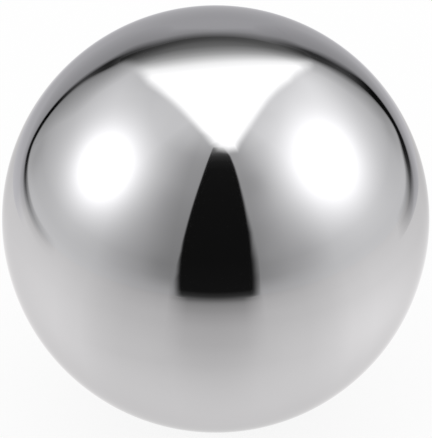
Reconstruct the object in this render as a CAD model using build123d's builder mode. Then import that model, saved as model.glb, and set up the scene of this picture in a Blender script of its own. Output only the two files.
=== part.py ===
"""A polished steel ball, as used in bearings and on the bench: one solid sphere.

Millimetres, +Z up. The origin is the ball's centre, the point from which a ball is measured.
"""

from build123d import *
import os

# Driving dimension: the ball's nominal diameter, a standard one-inch size
ball_diameter = 25.4

# The profile is a half circle in the XZ plane, from the lowest point up to the highest, in degrees
lowest_point_angle = -90
half_turn = 180

# The ball's surface is that half circle turned once about the Z axis, its own diameter
with BuildPart() as ball:
    with BuildSketch(Plane.XZ):
        with BuildLine():
            meridian = CenterArc((0, 0), ball_diameter / 2, lowest_point_angle, half_turn)
            Line(meridian @ 0, meridian @ 1)
        make_face()
    revolve(axis=Axis.Z)

ball.part.label = "ball"

os.makedirs("parts", exist_ok=True)
export_step(ball.part, "parts/ball.step")
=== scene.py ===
"""A polished steel ball on a plain pale floor.

Metres, +Z up, the origin at the ball's centre, as in the solid model. The ball is a mirror, so most of
what is seen on it is its surroundings. The stage therefore has a small studio of plain light and dark
cards that only reflections meet: the camera, the floor's shading and the shadows pass through them.
"""

import math

import bpy
from bpy.props import FloatProperty, FloatVectorProperty, IntProperty, PointerProperty
from bpy.types import Operator, Panel, PropertyGroup
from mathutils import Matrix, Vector


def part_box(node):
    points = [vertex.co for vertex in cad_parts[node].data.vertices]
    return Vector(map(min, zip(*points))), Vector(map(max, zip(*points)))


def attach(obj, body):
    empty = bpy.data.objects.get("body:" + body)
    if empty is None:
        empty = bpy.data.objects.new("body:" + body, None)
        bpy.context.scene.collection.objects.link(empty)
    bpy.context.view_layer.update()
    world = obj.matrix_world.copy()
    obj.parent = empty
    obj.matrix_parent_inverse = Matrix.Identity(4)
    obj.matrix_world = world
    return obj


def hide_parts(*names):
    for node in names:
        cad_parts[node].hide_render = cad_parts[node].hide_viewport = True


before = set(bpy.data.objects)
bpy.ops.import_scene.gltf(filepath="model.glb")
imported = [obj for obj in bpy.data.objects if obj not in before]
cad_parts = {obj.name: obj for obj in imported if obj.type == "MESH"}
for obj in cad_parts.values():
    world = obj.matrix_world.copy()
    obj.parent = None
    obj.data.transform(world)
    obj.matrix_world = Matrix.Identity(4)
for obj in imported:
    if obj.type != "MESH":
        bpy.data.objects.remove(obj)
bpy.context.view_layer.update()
ball_low, ball_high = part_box("ball")

bl_info = {
    "name": "Polished Steel Ball",
    "version": (1, 0, 0),
    "blender": (4, 5, 0),
    "location": "3D View > Sidebar > Steel Ball",
    "description": "Models a polished steel ball and the small studio that it reflects",
    "category": "Object",
}

# The picture's frame in pixels
PICTURE_WIDTH = 432
PICTURE_HEIGHT = 438

# The camera sees from the first of these distances to the second, in metres
CAMERA_CLIP = (0.01, 20.0)

# The steel's lapping haze: how fine and how rich its pattern is, the part of the pattern that shows, and
# how much it adds to the roughness and changes the tone
HAZE_SCALE = 240.0
HAZE_DETAIL = 5.0
HAZE_RANGE = (0.3, 0.7)
HAZE_ROUGHNESS = 0.012
HAZE_TONE = 0.008

# The hairlines: the turns of their two directions in radians, how their pattern is stretched, how fine and
# how rich it is, the part of it that shows, and how much they add to the roughness
HAIRLINE_TURNS = ((0.3, 0.5, 0.2), (1.2, -0.4, 0.9))
HAIRLINE_STRETCH = (1.0, 1.0, 0.03)
HAIRLINE_SCALE = 9000.0
HAIRLINE_DETAIL = 2.0
HAIRLINE_RANGE = (0.66, 0.8)
HAIRLINE_ROUGHNESS = 0.02

# Places in the studio are in ball radii, measured from the ball's centre
FLOOR_LEVEL = -1.0
FLOOR_TONE_LEVEL = -0.99

# Sides of the round wall and of the round floor card
WALL_SIDES = 128
FLOOR_TONE_SIDES = 96

# The wall's lower end is the face that points further down than this
FACING_DOWN = -0.5

# Tints of the wall, the curtain and the floor, as the ball reflects them
WALL_TINT = (0.989, 0.986, 1.0)
CURTAIN_TINT = (0.97, 0.96, 1.0)
FLOOR_TINT = (1.0, 0.985, 0.99)

# Outline of the dark doorway in the front wall, seen from the ball: across, up and how soft the edge is.
# It runs on below the floor, which hides its lower edge
DOORWAY_DEPTH = -5.6
DOORWAY_OUTLINE = (
    (-1.8, -1.5, 0.52),
    (-2.06, -0.95, 0.52),
    (-2.11, -0.4, 0.48),
    (-2.0, 0.3, 0.34),
    (-1.82, 1.4, 0.18),
    (-1.7, 2.3, 0.12),
    (-1.15, 6.6, 0.12),
    (-0.68, 10.8, 0.12),
    (-0.35, 13.5, 0.12),
    (1.0, 13.5, 0.12),
    (1.6, 10.8, 0.18),
    (1.76, 8.6, 0.18),
    (1.84, 6.6, 0.2),
    (1.91, 4.5, 0.24),
    (2.1, 2.4, 0.4),
    (2.28, 0.9, 0.6),
    (2.36, 0.0, 0.66),
    (2.29, -0.95, 0.64),
    (1.95, -1.6, 0.62),
)

# Outline of the bright panel overhead, in plan: across, back and how soft the edge is
PANEL_LEVEL = 3.3
PANEL_OUTLINE = (
    (0.0, -1.84, 0.42),
    (0.38, -1.91, 0.4),
    (0.7, -1.83, 0.45),
    (0.79, -1.49, 0.33),
    (1.4, 0.09, 0.29),
    (2.01, 1.24, 0.34),
    (2.57, 2.42, 0.45),
    (2.92, 3.1, 0.55),
    (3.2, 3.9, 0.55),
    (3.3, 5.4, 0.4),
    (2.75, 5.7, 0.5),
    (2.0, 5.05, 0.65),
    (1.25, 4.35, 0.65),
    (0.0, 3.9, 0.62),
    (-1.3, 4.08, 0.65),
    (-2.1, 4.75, 0.65),
    (-2.7, 5.35, 0.5),
    (-3.25, 5.3, 0.4),
    (-3.0, 3.9, 0.45),
    (-2.65, 3.0, 0.5),
    (-2.26, 2.2, 0.46),
    (-1.79, 0.94, 0.4),
    (-1.05, -0.27, 0.31),
    (-0.48, -1.18, 0.28),
    (-0.22, -1.61, 0.36),
)

# The grey curtain behind the ball hangs on part of a circle. Its edge runs from the left over the top to
# the right, with a dark line of painted shade along it: bearing from the back in degrees, height, how dark
# the line is, its half width, and how far a soft shade reaches inside and outside the line
CURTAIN_RADIUS = 4.0
CURTAIN_EDGE = (
    (-98, -0.54, 0.0, 0.13, 0.2, 0.1),
    (-86, -0.48, 0.28, 0.13, 0.25, 0.1),
    (-76, -0.41, 0.52, 0.12, 0.25, 0.1),
    (-65, -0.3, 0.8, 0.12, 0.25, 0.15),
    (-57.4, -0.17, 0.95, 0.11, 0.25, 0.2),
    (-52.2, 0.01, 0.98, 0.12, 0.3, 0.35),
    (-49.5, 0.33, 0.99, 0.12, 0.7, 0.45),
    (-46.8, 0.83, 0.99, 0.12, 1.3, 0.8),
    (-42.9, 1.55, 0.88, 0.18, 1.5, 1.2),
    (-38.3, 2.24, 0.96, 0.29, 1.3, 1.0),
    (-32.5, 2.74, 0.9, 0.41, 1.1, 0.9),
    (-20.5, 3.48, 0.88, 0.42, 0.7, 0.6),
    (0, 3.76, 0.86, 0.38, 0.3, 0.5),
    (18.5, 3.34, 0.84, 0.4, 0.5, 0.5),
    (28, 2.7, 0.9, 0.4, 0.9, 0.7),
    (32.8, 2.25, 0.95, 0.34, 1.1, 0.6),
    (37.8, 1.44, 0.9, 0.34, 1.2, 0.6),
    (40.4, 0.67, 1.0, 0.25, 1.0, 0.7),
    (45, 0.05, 1.0, 0.165, 0.55, 0.3),
    (52, -0.28, 0.96, 0.23, 0.75, 0.12),
    (58.5, -0.48, 0.8, 0.22, 0.4, 0.1),
    (67.2, -0.64, 0.48, 0.24, 0.06, 0.1),
    (80, -0.68, 0.0, 0.22, 0.04, 0.1),
)

# Straight steps from one place of the edge to the next
EDGE_STEPS = 6

# The curtain hangs this many times as far out as the line
CURTAIN_BEHIND_LINE = 1.01

# The curtain's head and the line stay below the panel: above these heights they are drawn in towards the
# place on the ball that mirrors them. The curtain hangs straight up to a little below its head
CURTAIN_CEILING = 3.25
LINE_CEILING = 3.2
CURTAIN_TURN = 0.02

# The place on the ball that mirrors them: what share of the way aside it lies, how far back and how far up
MIRROR_ASIDE = 0.17
MIRROR_BACK = -0.13
MIRROR_UP = 0.95

# Across the line: its darkest part as a share of its half width, the power by which that shrinks where the
# line is fainter, how dark it is at its half width, and in half widths where the soft shade begins
LINE_CORE = 0.8
LINE_CORE_POWER = 8
LINE_AT_HALF_WIDTH = 0.6
SHADE_START = 1.5

# How dark the soft shade begins inside and outside the line
INNER_SHADE = 0.3
OUTER_SHADE = 0.45

# The line's own faint light by height, and how much lighter it is to the right
LINE_BY_HEIGHT = ((1.9, 0.004), (2.3, 0.014), (2.6, 0.034), (2.9, 0.058), (3.2, 0.095))
LINE_TO_THE_RIGHT = 0.25

# The curtain itself fades out towards both ends, between these bearings
CURTAIN_SOLID_TO = 57.0
CURTAIN_CLEAR_FROM = 70.0

# Brightness stops are pairs of a place and the brightness there

# The wall by compass direction: minus one is the front, one is the back
WALL_BY_COMPASS = (
    (-1.0, 0.27),
    (-0.93, 0.26),
    (-0.8, 0.37),
    (-0.5, 0.53),
    (0.0, 0.57),
    (0.5, 0.62),
    (0.8, 0.58),
)

# The wall by height, as a share of the above: zero is level with the ball's centre, one is overhead
WALL_BY_HEIGHT = ((-0.05, 1.2), (0.1, 1.0), (0.4, 1.01), (0.7, 1.17), (0.87, 1.1), (0.98, 1.31))

# The wall's light runs over into the floor's between these two heights, on the same scale
WALL_FOOT_TOP = 0.0
WALL_FOOT = -0.165

# Lamps behind the wall: bearing from the front and height in degrees, brightness, spread and how much
# narrower they are upright. A brightness below zero is a shaded place
WALL_LAMPS = (
    (-77.5, 32.5, 2.5, 0.41, 1.15),
    (80.5, 34.0, 2.2, 0.525, 1.15),
    (-22.0, 73.0, 0.24, 0.22, 1.0),
    (30.0, 45.0, -0.13, 0.22, 1.0),
    (-32.0, 35.0, -0.06, 0.3, 1.0),
    (132.0, 42.0, 0.2, 0.25, 1.0),
    (40.0, 66.0, 0.06, 0.2, 1.0),
    (46.0, 8.0, -0.03, 0.22, 1.0),
    (26.0, 10.0, 0.03, 0.15, 1.0),
    (-122.0, 1.0, -0.16, 0.18, 1.0),
    (131.0, 3.0, -0.16, 0.14, 1.0),
    (-128.0, 41.0, 0.07, 0.22, 1.0),
    (92.0, 66.0, -0.06, 0.16, 1.0),
    (-28.0, 5.0, -0.03, 0.14, 1.0),
)

# The doorway by height
DOORWAY_BY_HEIGHT = (
    (-1.0, 0.15),
    (-0.85, 0.045),
    (-0.6, 0.01),
    (1.0, 0.008),
    (5.0, 0.009),
    (8.0, 0.011),
    (9.5, 0.02),
    (10.6, 0.045),
    (11.3, 0.09),
    (12.0, 0.2),
)

# The panel by distance back. Its shade bows back on both sides of a middle that lies to the left
PANEL_SHADE_LEFT = 0.35
PANEL_SHADE_BOW = 0.255
PANEL_BY_DEPTH = (
    (0.82, 1.95),
    (0.97, 1.72),
    (1.2, 1.5),
    (1.46, 1.0),
    (1.71, 0.62),
    (1.97, 0.4),
    (2.33, 0.22),
    (3.15, 0.12),
)

# The curtain by height
CURTAIN_BY_HEIGHT = (
    (-1.0, 0.96),
    (-0.85, 0.89),
    (-0.6, 0.8),
    (-0.35, 0.75),
    (0.0, 0.73),
    (0.65, 0.69),
    (1.1, 0.64),
    (1.6, 0.6),
    (2.6, 0.58),
    (3.5, 0.53),
)

# The floor card is clear under the ball and solid further out, and its light runs over from one level close
# to the ball into the floor's own, between these distances
FLOOR_TONE_FADE = (0.2, 0.6)
FLOOR_TONE_AWAY = (0.5, 1.5)
FLOOR_BY_THE_BALL = 1.09

# The floor by compass direction and, as a share of that, by distance from the ball
FLOOR_BY_COMPASS = (
    (-1.0, 0.78),
    (-0.95, 0.86),
    (-0.87, 0.9),
    (-0.75, 0.93),
    (-0.6, 1.01),
    (-0.45, 1.12),
    (-0.2, 1.19),
    (0.64, 1.21),
    (0.9, 1.03),
)
FLOOR_BY_DISTANCE = ((1.2, 1.03), (1.7, 1.0), (2.75, 0.9), (4.0, 0.84), (5.0, 0.81), (6.0, 0.78))

# How much lighter the floor is to the right and to the right in front, close by, and to the right in front
# further away, and the distances between which one runs over into the other
FLOOR_TO_THE_RIGHT = 0.036
FLOOR_RIGHT_FRONT = 0.032
FLOOR_FAR_RIGHT = 0.06
FLOOR_NEAR_TO_FAR = (1.6, 2.6)

# How much darker the floor is towards the front wall and before the doorway, by distance, and the compass
# directions between which each sets in
TOWARDS_FRONT = (-0.6, -0.95)
BEFORE_DOORWAY = (-0.925, -0.975)
FRONT_ON_FLOOR = ((3.4, 0.0), (5.0, 0.08), (6.0, 0.15))
DOORWAY_ON_FLOOR = (
    (1.5, 0.0),
    (2.0, 0.08),
    (2.7, 0.1),
    (3.1, 0.17),
    (3.8, 0.27),
    (4.4, 0.33),
    (4.8, 0.4),
    (5.1, 0.52),
    (5.5, 0.7),
)


class BallSettings(PropertyGroup):
    """Size and finish of the ball."""

    diameter: FloatProperty(
        name="Diameter",
        description="Diameter of the ball",
        default=max(ball_high - ball_low),
        min=0.001,
        unit="LENGTH",
    )
    faces: IntProperty(
        name="Faces",
        description="Faces along each edge of the cube that the ball is rounded from",
        default=96,
        min=8,
        max=100,
    )
    steel: FloatVectorProperty(
        name="Steel",
        description="Colour that the polished steel reflects",
        default=(0.58, 0.58, 0.585),
        min=0.0,
        max=1.0,
        subtype="COLOR",
    )
    edge_tint: FloatProperty(
        name="Edge Tint",
        description="How much of the extra gloss at a grazing view the steel keeps",
        default=0.75,
        min=0.0,
        max=1.0,
        subtype="FACTOR",
    )
    roughness: FloatProperty(
        name="Roughness",
        description="Roughness of the polish",
        default=0.03,
        min=0.0,
        max=1.0,
        subtype="FACTOR",
    )


class StudioSettings(PropertyGroup):
    """Floor, light and camera."""

    floor_size: FloatProperty(
        name="Floor Size",
        description="Length of the floor's sides",
        default=8.0,
        min=1.0,
        unit="LENGTH",
    )
    floor_colour: FloatVectorProperty(
        name="Floor Colour",
        description="Colour of the pale floor",
        default=(0.97, 0.97, 0.97),
        min=0.0,
        max=1.0,
        subtype="COLOR",
    )
    floor_shading: FloatProperty(
        name="Floor Shading",
        description="Share of the floor's brightness that takes the ball's shadow",
        default=0.15,
        min=0.0,
        max=1.0,
        subtype="FACTOR",
    )
    soft_light: FloatProperty(
        name="Soft Light",
        description="Brightness of the even light from all round",
        default=1.0,
        min=0.0,
    )
    wall_radius: FloatProperty(
        name="Wall Radius",
        description="Radius of the round studio wall, in ball radii",
        default=6.0,
        min=2.0,
    )
    wall_height: FloatProperty(
        name="Wall Height",
        description="Height of the studio's ceiling above the ball's centre, in ball radii",
        default=14.0,
        min=2.0,
    )
    camera_distance: FloatProperty(
        name="Camera Distance",
        description="Distance of the camera from the ball's centre",
        default=0.5,
        min=0.05,
        unit="LENGTH",
    )
    camera_elevation: FloatProperty(
        name="Camera Elevation",
        description="Angle of the camera above the horizon",
        default=math.radians(30),
        unit="ROTATION",
    )
    ball_in_picture: FloatProperty(
        name="Ball in Picture",
        description="Diameter of the ball's image as a share of the picture's height",
        default=0.9764,
        min=0.05,
        max=1.0,
        subtype="FACTOR",
    )
    picture_shift: FloatProperty(
        name="Picture Shift",
        description="How far the ball's image lies left of the picture's middle, in pixels",
        default=0.33,
    )


def start_clean():
    """Leave edit mode and deselect everything."""
    if bpy.context.mode != "OBJECT":
        bpy.ops.object.mode_set(mode="OBJECT")
    bpy.ops.object.select_all(action="DESELECT")


def name_active(name):
    """Give the active object and its mesh a name, and return the object."""
    made = bpy.context.active_object
    made.name = name
    made.data.name = name
    return made


def pick_faces(made, test):
    """Select only the faces that pass a test, and stay in edit mode."""
    bpy.ops.object.mode_set(mode="EDIT")
    bpy.ops.mesh.select_mode(type="FACE")
    bpy.ops.mesh.select_all(action="DESELECT")
    bpy.ops.object.mode_set(mode="OBJECT")
    for face in made.data.polygons:
        face.select = test(face)
    bpy.ops.object.mode_set(mode="EDIT")


def new_material(name):
    """A new material with only an output, together with its node tree and the output's surface socket."""
    material = bpy.data.materials.new(name)
    material.use_nodes = True
    tree = material.node_tree
    tree.nodes.clear()
    output = tree.nodes.new("ShaderNodeOutputMaterial")
    return material, tree, output.inputs["Surface"]


def feed(tree, socket, source):
    """Link a socket to another, or set its value."""
    if isinstance(source, bpy.types.NodeSocket):
        tree.links.new(source, socket)
    else:
        socket.default_value = source


def number(tree, operation, first, second=0.0):
    """What a calculation makes of two numbers, as a socket."""
    node = tree.nodes.new("ShaderNodeMath")
    node.operation = operation
    feed(tree, node.inputs[0], first)
    feed(tree, node.inputs[1], second)
    return node.outputs["Value"]


def vector(tree, operation, first, second=(0.0, 0.0, 0.0)):
    """What a calculation makes of two vectors, as a socket."""
    node = tree.nodes.new("ShaderNodeVectorMath")
    node.operation = operation
    feed(tree, node.inputs[0], first)
    feed(tree, node.inputs[1], second)
    return node.outputs["Value" if operation == "LENGTH" else "Vector"]


def parts_of(tree, source):
    """The three numbers of a vector, as sockets."""
    node = tree.nodes.new("ShaderNodeSeparateXYZ")
    feed(tree, node.inputs["Vector"], source)
    return node.outputs["X"], node.outputs["Y"], node.outputs["Z"]


def share(tree, source, low, high):
    """How far a number lies between two others, from zero to one."""
    node = tree.nodes.new("ShaderNodeMapRange")
    feed(tree, node.inputs["Value"], source)
    node.inputs["From Min"].default_value = low
    node.inputs["From Max"].default_value = high
    return node.outputs["Result"]


def brightness(tree, source, stops):
    """Brightness by place, straight between stops."""
    first = stops[0][0]
    last = stops[-1][0]
    peak = max(level for _, level in stops)
    node = tree.nodes.new("ShaderNodeValToRGB")
    feed(tree, node.inputs["Fac"], share(tree, source, first, last))
    elements = node.color_ramp.elements
    for place, _ in stops[1:-1]:
        elements.new((place - first) / (last - first))
    for element, (_, level) in zip(elements, stops):
        grey = level / peak
        element.color = (grey, grey, grey, 1.0)
    return number(tree, "MULTIPLY", node.outputs["Color"], peak)


def blend(tree, part, first, second):
    """A number that goes from one to another as the part goes from nothing to one."""
    node = tree.nodes.new("ShaderNodeMix")
    feed(tree, node.inputs["Factor"], part)
    feed(tree, node.inputs["A"], first)
    feed(tree, node.inputs["B"], second)
    return node.outputs["Result"]


def in_radii(tree, radius):
    """The surface's place in ball radii."""
    place = tree.nodes.new("ShaderNodeTexCoord")
    scale = 1.0 / radius
    return vector(tree, "MULTIPLY", place.outputs["Object"], (scale, scale, scale))


def glow(tree, strength, colour=(1.0, 1.0, 1.0)):
    """Plain light given off by a card."""
    node = tree.nodes.new("ShaderNodeEmission")
    node.inputs["Color"].default_value = (*colour, 1.0)
    feed(tree, node.inputs["Strength"], strength)
    return node.outputs["Emission"]


def cover(tree, amount, shader):
    """A shader that hides what is behind it by an amount."""
    clear = tree.nodes.new("ShaderNodeBsdfTransparent")
    mix = tree.nodes.new("ShaderNodeMixShader")
    feed(tree, mix.inputs["Fac"], amount)
    tree.links.new(clear.outputs["BSDF"], mix.inputs[1])
    tree.links.new(shader, mix.inputs[2])
    return mix.outputs["Shader"]


def only_reflected(card, material):
    """Give a studio card its material and leave it to reflections alone."""
    material.cycles.emission_sampling = "NONE"
    card.data.materials.clear()
    card.data.materials.append(material)
    card.visible_camera = False
    card.visible_diffuse = False
    card.visible_shadow = False
    card.visible_volume_scatter = False


def flat_card(name, corners):
    """A flat card with its corners moved to their places."""
    start_clean()
    bpy.ops.mesh.primitive_circle_add(vertices=len(corners), fill_type="NGON")
    card = name_active(name)
    for vertex, corner in zip(card.data.vertices, corners):
        vertex.co = corner
    card.data.update()
    return card


def mark_solid(card, amounts):
    """Mark how solid a card is at each of its vertices, from nothing to one."""
    solid = card.data.attributes.new("solid", "FLOAT", "POINT")
    for value, amount in zip(solid.data, amounts):
        value.value = amount


def feather(card, widths):
    """Inset a card's edge by each corner's own width, and mark it solid inside and clear at its rim."""
    corners = [vertex.co.copy() for vertex in card.data.vertices]
    least = min(widths)
    bpy.ops.object.mode_set(mode="EDIT")
    bpy.ops.mesh.select_all(action="SELECT")
    bpy.ops.mesh.inset(thickness=least)
    bpy.ops.object.mode_set(mode="OBJECT")
    amounts = []
    for vertex in card.data.vertices:
        if vertex.index < len(corners):
            amounts.append(0.0)
            continue
        nearest = min(range(len(corners)), key=lambda k: (corners[k] - vertex.co).length)
        vertex.co = corners[nearest].lerp(vertex.co, widths[nearest] / least)
        amounts.append(1.0)
    mark_solid(card, amounts)


def solid_amount(tree):
    """How solid a card is at a place, as it was marked."""
    node = tree.nodes.new("ShaderNodeAttribute")
    node.attribute_name = "solid"
    return node.outputs["Fac"]


def soft_amount(tree):
    """How solid a feathered card is at a place, easing in and out."""
    easing = share(tree, solid_amount(tree), 0.0, 1.0)
    easing.node.interpolation_type = "SMOOTHSTEP"
    return easing


def steel_material(settings):
    """Polished steel: a mirror with a trace of lapping haze and hairlines."""
    material, tree, surface = new_material("polished_steel")
    place = tree.nodes.new("ShaderNodeTexCoord")

    # A lapped ball's haze is uneven over a few millimetres
    haze = tree.nodes.new("ShaderNodeTexNoise")
    haze.inputs["Scale"].default_value = HAZE_SCALE
    haze.inputs["Detail"].default_value = HAZE_DETAIL
    tree.links.new(place.outputs["Object"], haze.inputs["Vector"])
    haze_amount = share(tree, haze.outputs["Fac"], *HAZE_RANGE)

    # Hairlines left by the lapping plates run in two directions
    lines = []
    for turn in HAIRLINE_TURNS:
        run = tree.nodes.new("ShaderNodeMapping")
        run.inputs["Rotation"].default_value = turn
        run.inputs["Scale"].default_value = HAIRLINE_STRETCH
        tree.links.new(place.outputs["Object"], run.inputs["Vector"])
        strands = tree.nodes.new("ShaderNodeTexNoise")
        strands.inputs["Scale"].default_value = HAIRLINE_SCALE
        strands.inputs["Detail"].default_value = HAIRLINE_DETAIL
        tree.links.new(run.outputs["Vector"], strands.inputs["Vector"])
        lines.append(share(tree, strands.outputs["Fac"], *HAIRLINE_RANGE))
    hairlines = number(tree, "MAXIMUM", *lines)

    hazed = number(tree, "MULTIPLY_ADD", haze_amount, HAZE_ROUGHNESS)
    hazed.node.inputs[2].default_value = settings.roughness
    rough = number(tree, "MULTIPLY_ADD", hairlines, HAIRLINE_ROUGHNESS)
    tree.links.new(hazed, rough.node.inputs[2])

    tone = tree.nodes.new("ShaderNodeMix")
    tone.data_type = "RGBA"
    tree.links.new(haze_amount, tone.inputs["Factor"])
    tone.inputs["A"].default_value = (*(channel * (1.0 - HAZE_TONE) for channel in settings.steel), 1.0)
    tone.inputs["B"].default_value = (*(channel * (1.0 + HAZE_TONE) for channel in settings.steel), 1.0)

    shader = tree.nodes.new("ShaderNodeBsdfPrincipled")
    shader.inputs["Metallic"].default_value = 1.0
    tint = settings.edge_tint
    shader.inputs["Specular Tint"].default_value = (tint, tint, tint, 1.0)
    tree.links.new(tone.outputs["Result"], shader.inputs["Base Color"])
    tree.links.new(rough, shader.inputs["Roughness"])
    tree.links.new(shader.outputs["BSDF"], surface)
    return material


class STEELBALL_OT_make_ball(Operator):
    """Model the ball from a cube, rounded to the solid model's diameter"""

    bl_idname = "steel_ball.make_ball"
    bl_label = "Make Ball"

    def execute(self, context):
        settings = context.scene.steel_ball
        start_clean()
        bpy.ops.mesh.primitive_cube_add(size=settings.diameter)
        ball = name_active("ball_polished")
        bpy.ops.object.mode_set(mode="EDIT")
        bpy.ops.mesh.select_all(action="SELECT")
        bpy.ops.mesh.subdivide(number_cuts=settings.faces - 1)
        bpy.ops.object.mode_set(mode="OBJECT")
        rounding = ball.modifiers.new("rounding", "CAST")
        rounding.cast_type = "SPHERE"
        rounding.factor = 1.0
        rounding.size = settings.diameter / 2
        rounding.use_radius_as_size = False
        bpy.ops.object.modifier_apply(modifier=rounding.name)
        bpy.ops.object.shade_smooth()
        ball.data.materials.append(steel_material(settings))
        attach(ball, "root")
        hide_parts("ball")
        return {"FINISHED"}


def background_ray(tree):
    """One for the rays that show the background: the camera's, a reflection's and one through glass."""
    path = tree.nodes.new("ShaderNodeLightPath")
    seen = number(tree, "MAXIMUM", path.outputs["Is Camera Ray"], path.outputs["Is Glossy Ray"])
    return number(tree, "MAXIMUM", seen, path.outputs["Is Transmission Ray"])


def make_floor(studio, radius):
    """The pale floor: white to the eye and in reflections, with the ball's soft shadow."""
    start_clean()
    bpy.ops.mesh.primitive_plane_add(size=studio.floor_size, location=(0, 0, FLOOR_LEVEL * radius))
    bpy.ops.object.transform_apply(location=True)
    floor = name_active("floor")
    material, tree, surface = new_material("pale_floor")
    matt = tree.nodes.new("ShaderNodeBsdfDiffuse")
    matt.inputs["Color"].default_value = (*studio.floor_colour, 1.0)
    white = glow(tree, 1.0)
    share_of_white = number(tree, "MULTIPLY", background_ray(tree), 1.0 - studio.floor_shading)
    mix = tree.nodes.new("ShaderNodeMixShader")
    tree.links.new(share_of_white, mix.inputs["Fac"])
    tree.links.new(matt.outputs["BSDF"], mix.inputs[1])
    tree.links.new(white, mix.inputs[2])
    tree.links.new(mix.outputs["Shader"], surface)
    material.cycles.emission_sampling = "NONE"
    floor.data.materials.append(material)


def make_world(studio):
    """Even soft light from all round, and a white background."""
    world = bpy.data.worlds.new("soft_light")
    world.use_nodes = True
    tree = world.node_tree
    tree.nodes.clear()
    output = tree.nodes.new("ShaderNodeOutputWorld")
    sky = tree.nodes.new("ShaderNodeBackground")
    level = tree.nodes.new("ShaderNodeMix")
    tree.links.new(background_ray(tree), level.inputs["Factor"])
    level.inputs["A"].default_value = studio.soft_light
    level.inputs["B"].default_value = 1.0
    tree.links.new(level.outputs["Result"], sky.inputs["Strength"])
    sky.inputs["Color"].default_value = (1.0, 1.0, 1.0, 1.0)
    tree.links.new(sky.outputs["Background"], output.inputs["Surface"])
    bpy.context.scene.world = world


def floor_light(tree, place):
    """How the studio's light falls on the floor: lighter at the sides, darker towards the front."""
    level_place = vector(tree, "MULTIPLY", place, (1.0, 1.0, 0.0))
    distance = vector(tree, "LENGTH", level_place)
    aside, compass, _ = parts_of(tree, vector(tree, "NORMALIZE", level_place))
    by_compass = brightness(tree, compass, FLOOR_BY_COMPASS)
    by_distance = brightness(tree, distance, FLOOR_BY_DISTANCE)
    light = number(tree, "MULTIPLY", by_compass, by_distance)
    tilt = number(tree, "MULTIPLY_ADD", compass, -FLOOR_RIGHT_FRONT)
    tilt.node.inputs[2].default_value = FLOOR_TO_THE_RIGHT
    far_tilt = number(tree, "MULTIPLY", compass, -FLOOR_FAR_RIGHT)
    far = share(tree, distance, *FLOOR_NEAR_TO_FAR)
    lean = number(tree, "MULTIPLY", aside, blend(tree, far, tilt, far_tilt))
    light = number(tree, "MULTIPLY", light, number(tree, "ADD", lean, 1.0))
    for directions, stops in ((TOWARDS_FRONT, FRONT_ON_FLOOR), (BEFORE_DOORWAY, DOORWAY_ON_FLOOR)):
        part = share(tree, compass, *directions)
        dim = number(tree, "MULTIPLY", part, brightness(tree, distance, stops))
        light = number(tree, "MULTIPLY", light, number(tree, "SUBTRACT", 1.0, dim))
    return light


def aim(bearing, height):
    """Direction of a bearing from the front, positive to the right, and a height, in degrees."""
    turn = math.radians(bearing)
    rise = math.radians(height)
    return Vector((math.sin(turn) * math.cos(rise), -math.cos(turn) * math.cos(rise), math.sin(rise)))


def make_wall(studio, radius):
    """The round wall and ceiling, lit from behind by lamps."""
    start_clean()
    from_floor = studio.wall_height - FLOOR_LEVEL
    bpy.ops.mesh.primitive_cylinder_add(
        vertices=WALL_SIDES,
        radius=studio.wall_radius * radius,
        depth=from_floor * radius,
        location=(0, 0, (FLOOR_LEVEL + from_floor / 2) * radius),
    )
    bpy.ops.object.transform_apply(location=True)
    wall = name_active("studio_wall")
    pick_faces(wall, lambda face: face.normal.z < FACING_DOWN)
    bpy.ops.mesh.delete(type="FACE")
    bpy.ops.object.mode_set(mode="OBJECT")

    material, tree, surface = new_material("studio_wall")
    place = in_radii(tree, radius)
    level_place = vector(tree, "MULTIPLY", place, (1.0, 1.0, 0.0))
    compass = parts_of(tree, vector(tree, "NORMALIZE", level_place))[1]
    direction = vector(tree, "NORMALIZE", place)
    rise = parts_of(tree, direction)[2]
    # The wall's painted light: darker towards the front, lighter low down and overhead, with the lamps'
    # glow and the shaded places added
    by_compass = brightness(tree, compass, WALL_BY_COMPASS)
    by_height = brightness(tree, rise, WALL_BY_HEIGHT)
    wall_glow = number(tree, "MULTIPLY", by_compass, by_height)

    # Each lamp fades with the square of one more than its squared distance
    for bearing, height, strength, spread, upright in WALL_LAMPS:
        off = vector(tree, "SUBTRACT", direction, aim(bearing, height))
        off = vector(tree, "MULTIPLY", off, (1.0 / spread, 1.0 / spread, upright / spread))
        distance = vector(tree, "LENGTH", off)
        spreading = number(tree, "ADD", number(tree, "POWER", distance, 2.0), 1.0)
        spot = number(tree, "DIVIDE", strength, number(tree, "POWER", spreading, 2.0))
        wall_glow = number(tree, "ADD", wall_glow, spot)

    foot = share(tree, rise, WALL_FOOT_TOP, WALL_FOOT)
    foot.node.interpolation_type = "SMOOTHSTEP"
    light = blend(tree, foot, wall_glow, floor_light(tree, place))
    tree.links.new(glow(tree, light, WALL_TINT), surface)
    only_reflected(wall, material)


def make_doorway(radius):
    """The dark doorway in the front wall, a little lighter at its foot and its top."""
    corners = [(x * radius, DOORWAY_DEPTH * radius, z * radius) for x, z, _ in DOORWAY_OUTLINE]
    doorway = flat_card("dark_doorway", corners)
    feather(doorway, [soft * radius for *_, soft in DOORWAY_OUTLINE])
    material, tree, surface = new_material("dark_doorway")
    rise = parts_of(tree, in_radii(tree, radius))[2]
    light = brightness(tree, rise, DOORWAY_BY_HEIGHT)
    tree.links.new(cover(tree, soft_amount(tree), glow(tree, light)), surface)
    only_reflected(doorway, material)


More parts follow.
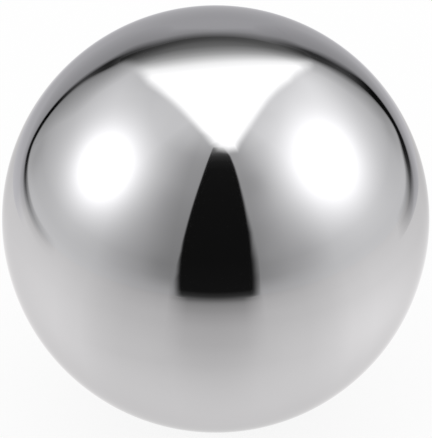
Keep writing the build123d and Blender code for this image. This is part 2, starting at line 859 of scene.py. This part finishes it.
def make_panel(radius):
    """The bright panel overhead, which darkens towards its back in a bowed shade."""
    corners = [(x * radius, y * radius, PANEL_LEVEL * radius) for x, y, _ in PANEL_OUTLINE]
    panel = flat_card("overhead_panel", corners)
    feather(panel, [soft * radius for *_, soft in PANEL_OUTLINE])
    material, tree, surface = new_material("overhead_panel")
    across, back, _ = parts_of(tree, in_radii(tree, radius))
    off = number(tree, "ADD", across, PANEL_SHADE_LEFT)
    bow = number(tree, "MULTIPLY", number(tree, "MULTIPLY", off, off), PANEL_SHADE_BOW)
    depth = number(tree, "SUBTRACT", back, bow)
    light = brightness(tree, depth, PANEL_BY_DEPTH)
    tree.links.new(cover(tree, soft_amount(tree), glow(tree, light)), surface)
    only_reflected(panel, material)


def grid_card(name, rows):
    """A card of equal rows of places, made from a grid."""
    start_clean()
    bpy.ops.mesh.primitive_grid_add(x_subdivisions=len(rows[0]) - 1, y_subdivisions=len(rows) - 1)
    card = name_active(name)
    places = [place for row in rows for place in row]
    if len(places) != len(card.data.vertices):
        raise RuntimeError(f"{name}: the grid has {len(card.data.vertices)} places, not {len(places)}")
    for vertex, place in zip(card.data.vertices, places):
        vertex.co = place
    card.data.update()
    return card


def edge_run():
    """The curtain's edge as a smooth run of rows, with distances along the circle in place of bearings."""
    rows = []
    for bearing, *rest in CURTAIN_EDGE:
        rows.append(Vector((CURTAIN_RADIUS * math.radians(bearing), *rest)))
    run = []
    for k in range(len(rows) - 1):
        before = rows[max(k - 1, 0)]
        after = rows[min(k + 2, len(rows) - 1)]
        for step in range(EDGE_STEPS):
            run.append(between(before, rows[k], rows[k + 1], after, step / EDGE_STEPS))
    run.append(rows[-1])
    return run


def between(before, start, end, after, part):
    """A place on the smooth curve from one row to the next, which the rows on either side steer."""
    turn = end - before
    bend = 2 * before - 5 * start + 4 * end - after
    twist = 3 * (start - end) + after - before
    return start + 0.5 * (turn * part + bend * part ** 2 + twist * part ** 3)


def on_circle(along, height, circle, radius):
    """A place on an upright cylinder, from its distance along the curtain's circle and its height."""
    turn = along / CURTAIN_RADIUS
    return Vector((circle * math.sin(turn), circle * math.cos(turn), height)) * radius


def below_panel(place, ceiling, radius):
    """A place drawn in below a ceiling, towards the place on the ball that mirrors it."""
    if place.z <= ceiling * radius:
        return place
    mirror = Vector((MIRROR_ASIDE * place.x, MIRROR_BACK * radius, MIRROR_UP * radius))
    return mirror.lerp(place, (ceiling * radius - mirror.z) / (place.z - mirror.z))


def make_curtain(radius):
    """The grey curtain behind the ball, which fades out towards both ends."""
    circle = CURTAIN_RADIUS * CURTAIN_BEHIND_LINE
    foot = []
    body = []
    head = []
    amounts = []
    for along, height, *_ in edge_run():
        straight_to = min(height, CURTAIN_CEILING) - CURTAIN_TURN
        foot.append(on_circle(along, FLOOR_LEVEL, circle, radius))
        body.append(on_circle(along, straight_to, circle, radius))
        head.append(below_panel(on_circle(along, height, circle, radius), CURTAIN_CEILING, radius))
        bearing = abs(math.degrees(along / CURTAIN_RADIUS))
        part = (CURTAIN_CLEAR_FROM - bearing) / (CURTAIN_CLEAR_FROM - CURTAIN_SOLID_TO)
        amounts.append(min(1.0, max(0.0, part)))
    rows = [foot, body, head]
    curtain = grid_card("grey_curtain", rows)
    mark_solid(curtain, amounts * len(rows))
    material, tree, surface = new_material("grey_curtain")
    rise = parts_of(tree, in_radii(tree, radius))[2]
    light = brightness(tree, rise, CURTAIN_BY_HEIGHT)
    tree.links.new(cover(tree, solid_amount(tree), glow(tree, light, CURTAIN_TINT)), surface)
    only_reflected(curtain, material)


def line_profile(dark, width, inside, outside):
    """From inside the curtain outwards: distance from the line's middle, and how dark it is there."""
    core = LINE_CORE * width * dark ** LINE_CORE_POWER
    shade_start = SHADE_START * width
    return (
        (-shade_start - inside, 0.0),
        (-shade_start, INNER_SHADE),
        (-width, LINE_AT_HALF_WIDTH),
        (-core, 1.0),
        (core, 1.0),
        (width, LINE_AT_HALF_WIDTH),
        (shade_start, OUTER_SHADE * min(1.0, outside)),
        (shade_start + outside, 0.0),
    )


def make_curtain_edge_shade(radius):
    """Painted shade along the curtain's edge: a dark line, thin at the sides and wide on top, with a soft
    shade.
    """
    run = edge_run()
    rows = []
    amounts = []
    for k, point in enumerate(run):
        along, height, dark, width, inside, outside = point
        ahead = run[min(k + 1, len(run) - 1)] - run[max(k - 1, 0)]
        outward = Vector((-ahead[1], ahead[0])).normalized()
        row = []
        for off, amount in line_profile(dark, width, inside, outside):
            place = on_circle(along + outward.x * off, height + outward.y * off, CURTAIN_RADIUS, radius)
            row.append(below_panel(place, LINE_CEILING, radius))
            amounts.append(amount * dark)
        rows.append(row)
    # A card of painted shade along the curtain's edge, darkest in the line's middle
    line = grid_card("curtain_edge_shade", rows)
    mark_solid(line, amounts)
    material, tree, surface = new_material("curtain_edge_shade")
    across, _, rise = parts_of(tree, in_radii(tree, radius))
    lean = number(tree, "MULTIPLY_ADD", across, LINE_TO_THE_RIGHT)
    lean.node.inputs[2].default_value = 1.0
    light = number(tree, "MULTIPLY", brightness(tree, rise, LINE_BY_HEIGHT), lean)
    tree.links.new(cover(tree, solid_amount(tree), glow(tree, light)), surface)
    only_reflected(line, material)


def make_floor_tone(studio, radius):
    """The studio's light on the floor as the ball reflects it, on a card just above the floor."""
    start_clean()
    bpy.ops.mesh.primitive_circle_add(
        vertices=FLOOR_TONE_SIDES,
        radius=studio.wall_radius * radius,
        fill_type="NGON",
        location=(0, 0, FLOOR_TONE_LEVEL * radius),
    )
    bpy.ops.object.transform_apply(location=True)
    tone = name_active("floor_tone")
    material, tree, surface = new_material("floor_tone")
    place = in_radii(tree, radius)
    distance = vector(tree, "LENGTH", vector(tree, "MULTIPLY", place, (1.0, 1.0, 0.0)))
    away = share(tree, distance, *FLOOR_TONE_AWAY)
    light = blend(tree, away, FLOOR_BY_THE_BALL, floor_light(tree, place))
    amount = share(tree, distance, *FLOOR_TONE_FADE)
    tree.links.new(cover(tree, amount, glow(tree, light, FLOOR_TINT)), surface)
    only_reflected(tone, material)


def make_camera(studio, radius):
    """The camera, framed so that the ball fills its share of the picture."""
    data = bpy.data.cameras.new("camera")
    camera = bpy.data.objects.new("camera", data)
    bpy.context.scene.collection.objects.link(camera)
    rise = studio.camera_elevation
    back = Vector((0.0, -math.cos(rise), math.sin(rise)))
    camera.location = back * studio.camera_distance
    camera.rotation_euler = (math.pi / 2 - rise, 0.0, 0.0)
    half_view = math.asin(radius / studio.camera_distance)
    long_side = max(PICTURE_WIDTH, PICTURE_HEIGHT)
    ball_share = studio.ball_in_picture * PICTURE_HEIGHT / long_side
    data.lens = data.sensor_width * ball_share / (2 * math.tan(half_view))
    data.shift_x = studio.picture_shift / long_side
    data.clip_start, data.clip_end = CAMERA_CLIP
    bpy.context.scene.camera = camera


class STEELBALL_OT_make_stage(Operator):
    """Set up the floor, the soft light, the studio cards that the ball reflects, and the camera"""

    bl_idname = "steel_ball.make_stage"
    bl_label = "Make Stage"

    def execute(self, context):
        studio = context.scene.steel_ball_studio
        radius = context.scene.steel_ball.diameter / 2
        context.scene.view_settings.view_transform = "Standard"
        make_floor(studio, radius)
        make_world(studio)
        make_wall(studio, radius)
        make_doorway(radius)
        make_panel(radius)
        make_curtain(radius)
        make_curtain_edge_shade(radius)
        make_floor_tone(studio, radius)
        make_camera(studio, radius)
        return {"FINISHED"}


class STEELBALL_PT_sidebar(Panel):
    """Sizes, finish and stage of the steel ball"""

    bl_idname = "STEELBALL_PT_sidebar"
    bl_label = "Steel Ball"
    bl_space_type = "VIEW_3D"
    bl_region_type = "UI"
    bl_category = "Steel Ball"

    def draw(self, context):
        layout = self.layout
        for settings, operator in (
            (context.scene.steel_ball, STEELBALL_OT_make_ball),
            (context.scene.steel_ball_studio, STEELBALL_OT_make_stage),
        ):
            column = layout.column()
            for name in settings.__annotations__:
                column.prop(settings, name)
            column.operator(operator.bl_idname)


CLASSES = (
    BallSettings,
    StudioSettings,
    STEELBALL_OT_make_ball,
    STEELBALL_OT_make_stage,
    STEELBALL_PT_sidebar,
)


def register():
    """Register the classes and give the scene its settings."""
    for made in CLASSES:
        bpy.utils.register_class(made)
    bpy.types.Scene.steel_ball = PointerProperty(type=BallSettings)
    bpy.types.Scene.steel_ball_studio = PointerProperty(type=StudioSettings)


def unregister():
    """Take the settings and the classes away again."""
    del bpy.types.Scene.steel_ball_studio
    del bpy.types.Scene.steel_ball
    for made in reversed(CLASSES):
        bpy.utils.unregister_class(made)


def main():
    """Make the ball and its stage."""
    register()
    bpy.ops.steel_ball.make_ball()
    bpy.ops.steel_ball.make_stage()


if __name__ == "__main__":
    main()
